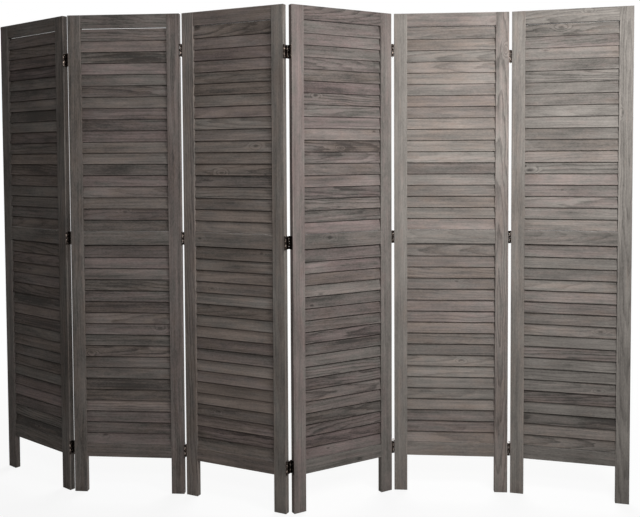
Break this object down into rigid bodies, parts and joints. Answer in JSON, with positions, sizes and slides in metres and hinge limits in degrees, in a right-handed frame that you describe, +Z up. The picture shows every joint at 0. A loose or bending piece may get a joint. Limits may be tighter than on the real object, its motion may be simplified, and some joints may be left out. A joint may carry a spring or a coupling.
{
  "type": "folding louvred room divider",
  "caption": "Free-standing folding room divider of louvred wooden panels on legs, joined edge to edge by two-way hinges, with slats that turn on round tenons.",
  "frame": {"origin": "on the floor, at the middle of the box round the screen as it stands part folded", "axes": "+Z up, +X along the screen from the left panel to the right one as seen from the front, -Y towards the front"},
  "size_m": [2.312, 0.3302, 1.7],
  "materials": {
    "stile_wood": "grey-brown weathered stain, matt, open grain",
    "rail_wood": "grey-brown weathered stain, matt, open grain",
    "slat_wood": "grey-brown weathered stain, matt, open grain, varying from slat to slat",
    "hinge_metal": "dark bronze, half gloss",
    "screw_metal": "dark bronze, half gloss"
  },
  "bodies": {
    "panel_1": {"panel_1_stiles": "stile_wood", "panel_1_rails": "rail_wood", "panel_1_slats": "slat_wood", "panel_1_hinge_leaves": "hinge_metal", "panel_1_hinge_screws": "screw_metal"},
    "panel_2": {"panel_2_stiles": "stile_wood", "panel_2_rails": "rail_wood", "panel_2_slats": "slat_wood", "panel_2_hinge_leaves": "hinge_metal", "panel_2_hinge_screws": "screw_metal"},
    "panel_3": {"panel_3_stiles": "stile_wood", "panel_3_rails": "rail_wood", "panel_3_slats": "slat_wood", "panel_3_hinge_leaves": "hinge_metal", "panel_3_hinge_screws": "screw_metal"},
    "panel_4": {"panel_4_stiles": "stile_wood", "panel_4_rails": "rail_wood", "panel_4_lower_slats": "slat_wood", "panel_4_hinge_leaves": "hinge_metal", "panel_4_hinge_screws": "screw_metal"},
    "panel_5": {"panel_5_stiles": "stile_wood", "panel_5_rails": "rail_wood", "panel_5_slats": "slat_wood", "panel_5_hinge_leaves": "hinge_metal", "panel_5_hinge_screws": "screw_metal"},
    "panel_6": {"panel_6_stiles": "stile_wood", "panel_6_rails": "rail_wood", "panel_6_slats": "slat_wood", "panel_6_hinge_leaves": "hinge_metal", "panel_6_hinge_screws": "screw_metal"},
    "link_12": {"hinge_12_links": "hinge_metal", "hinge_12_pins": "hinge_metal"},
    "link_23": {"hinge_23_links": "hinge_metal", "hinge_23_pins": "hinge_metal"},
    "link_34": {"hinge_34_links": "hinge_metal", "hinge_34_pins": "hinge_metal"},
    "link_45": {"hinge_45_links": "hinge_metal", "hinge_45_pins": "hinge_metal"},
    "link_56": {"hinge_56_links": "hinge_metal", "hinge_56_pins": "hinge_metal"},
    "slat_01": {"turning_slat_01": "slat_wood"},
    "slat_02": {"turning_slat_02": "slat_wood"},
    "slat_03": {"turning_slat_03": "slat_wood"},
    "slat_04": {"turning_slat_04": "slat_wood"},
    "slat_05": {"turning_slat_05": "slat_wood"},
    "slat_06": {"turning_slat_06": "slat_wood"},
    "slat_07": {"turning_slat_07": "slat_wood"},
    "slat_08": {"turning_slat_08": "slat_wood"},
    "slat_09": {"turning_slat_09": "slat_wood"},
    "slat_10": {"turning_slat_10": "slat_wood"},
    "slat_11": {"turning_slat_11": "slat_wood"},
    "slat_12": {"turning_slat_12": "slat_wood"},
    "slat_13": {"turning_slat_13": "slat_wood"},
    "slat_14": {"turning_slat_14": "slat_wood"},
    "slat_15": {"turning_slat_15": "slat_wood"},
    "slat_16": {"turning_slat_16": "slat_wood"},
    "slat_17": {"turning_slat_17": "slat_wood"},
    "slat_18": {"turning_slat_18": "slat_wood"}
  },
  "joints": [
    {"name": "fold_1_2_front", "type": "hinge", "parent": "link_12", "child": "panel_1", "pos_m": [-0.80266, -0.0826, 0.914], "axis": [0, 0, -1], "range_deg": [-180, 0]},
    {"name": "fold_1_2_back", "type": "hinge", "parent": "panel_2", "child": "link_12", "pos_m": [-0.792, -0.06335, 0.914], "axis": [0, 0, -1], "range_deg": [-34, 146]},
    {"name": "fold_2_3_front", "type": "hinge", "parent": "link_23", "child": "panel_2", "pos_m": [-0.38264, -0.04963, 0.914], "axis": [0, 0, 1], "range_deg": [-21, 159]},
    {"name": "fold_2_3_back", "type": "hinge", "parent": "panel_3", "child": "link_23", "pos_m": [-0.37657, -0.02848, 0.914], "axis": [0, 0, 1], "range_deg": [-150, 0]},
    {"name": "fold_3_4_front", "type": "hinge", "parent": "panel_3", "child": "link_34", "pos_m": [0.01052, -0.16236, 0.914], "axis": [0, 0, 1], "range_deg": [-150, 0]},
    {"name": "fold_3_4_back", "type": "hinge", "parent": "link_34", "child": "panel_4", "pos_m": [0.01658, -0.14121, 0.914], "axis": [0, 0, 1], "range_deg": [-56, 124]},
    {"name": "fold_4_5_front", "type": "hinge", "parent": "panel_4", "child": "link_45", "pos_m": [0.34404, 0.10483, 0.914], "axis": [0, 0, -1], "range_deg": [-35, 145]},
    {"name": "fold_4_5_back", "type": "hinge", "parent": "link_45", "child": "panel_5", "pos_m": [0.34212, 0.12675, 0.914], "axis": [0, 0, -1], "range_deg": [-180, 0]},
    {"name": "fold_5_6_front", "type": "hinge", "parent": "panel_5", "child": "link_56", "pos_m": [0.75148, 0.14048, 0.914], "axis": [0, 0, 1], "range_deg": [-169, 11]},
    {"name": "fold_5_6_back", "type": "hinge", "parent": "link_56", "child": "panel_6", "pos_m": [0.75378, 0.16236, 0.914], "axis": [0, 0, 1], "range_deg": [0, 180]},
    {"name": "slat_01_turn", "type": "hinge", "parent": "panel_4", "child": "slat_01", "pos_m": [0.18031, -0.01819, 1.63109], "axis": [0.766, 0.6428, 0], "range_deg": [-125, 0]},
    {"name": "slat_02_turn", "type": "hinge", "parent": "panel_4", "child": "slat_02", "pos_m": [0.18031, -0.01819, 1.59167], "axis": [0.766, 0.6428, 0], "range_deg": [-125, 0]},
    {"name": "slat_03_turn", "type": "hinge", "parent": "panel_4", "child": "slat_03", "pos_m": [0.18031, -0.01819, 1.55224], "axis": [0.766, 0.6428, 0], "range_deg": [-125, 0]},
    {"name": "slat_04_turn", "type": "hinge", "parent": "panel_4", "child": "slat_04", "pos_m": [0.18031, -0.01819, 1.51282], "axis": [0.766, 0.6428, 0], "range_deg": [-125, 0]},
    {"name": "slat_05_turn", "type": "hinge", "parent": "panel_4", "child": "slat_05", "pos_m": [0.18031, -0.01819, 1.4734], "axis": [0.766, 0.6428, 0], "range_deg": [-125, 0]},
    {"name": "slat_06_turn", "type": "hinge", "parent": "panel_4", "child": "slat_06", "pos_m": [0.18031, -0.01819, 1.43398], "axis": [0.766, 0.6428, 0], "range_deg": [-125, 0]},
    {"name": "slat_07_turn", "type": "hinge", "parent": "panel_4", "child": "slat_07", "pos_m": [0.18031, -0.01819, 1.39455], "axis": [0.766, 0.6428, 0], "range_deg": [-125, 0]},
    {"name": "slat_08_turn", "type": "hinge", "parent": "panel_4", "child": "slat_08", "pos_m": [0.18031, -0.01819, 1.35513], "axis": [0.766, 0.6428, 0], "range_deg": [-125, 0]},
    {"name": "slat_09_turn", "type": "hinge", "parent": "panel_4", "child": "slat_09", "pos_m": [0.18031, -0.01819, 1.31571], "axis": [0.766, 0.6428, 0], "range_deg": [-125, 0]},
    {"name": "slat_10_turn", "type": "hinge", "parent": "panel_4", "child": "slat_10", "pos_m": [0.18031, -0.01819, 1.27629], "axis": [0.766, 0.6428, 0], "range_deg": [-125, 0]},
    {"name": "slat_11_turn", "type": "hinge", "parent": "panel_4", "child": "slat_11", "pos_m": [0.18031, -0.01819, 1.23687], "axis": [0.766, 0.6428, 0], "range_deg": [-125, 0]},
    {"name": "slat_12_turn", "type": "hinge", "parent": "panel_4", "child": "slat_12", "pos_m": [0.18031, -0.01819, 1.19745], "axis": [0.766, 0.6428, 0], "range_deg": [-125, 0]},
    {"name": "slat_13_turn", "type": "hinge", "parent": "panel_4", "child": "slat_13", "pos_m": [0.18031, -0.01819, 1.15802], "axis": [0.766, 0.6428, 0], "range_deg": [-125, 0]},
    {"name": "slat_14_turn", "type": "hinge", "parent": "panel_4", "child": "slat_14", "pos_m": [0.18031, -0.01819, 1.1186], "axis": [0.766, 0.6428, 0], "range_deg": [-125, 0]},
    {"name": "slat_15_turn", "type": "hinge", "parent": "panel_4", "child": "slat_15", "pos_m": [0.18031, -0.01819, 1.07918], "axis": [0.766, 0.6428, 0], "range_deg": [-125, 0]},
    {"name": "slat_16_turn", "type": "hinge", "parent": "panel_4", "child": "slat_16", "pos_m": [0.18031, -0.01819, 1.03976], "axis": [0.766, 0.6428, 0], "range_deg": [-125, 0]},
    {"name": "slat_17_turn", "type": "hinge", "parent": "panel_4", "child": "slat_17", "pos_m": [0.18031, -0.01819, 1.00033], "axis": [0.766, 0.6428, 0], "range_deg": [-125, 0]},
    {"name": "slat_18_turn", "type": "hinge", "parent": "panel_4", "child": "slat_18", "pos_m": [0.18031, -0.01819, 0.96091], "axis": [0.766, 0.6428, 0], "range_deg": [-125, 0]}
  ]
}
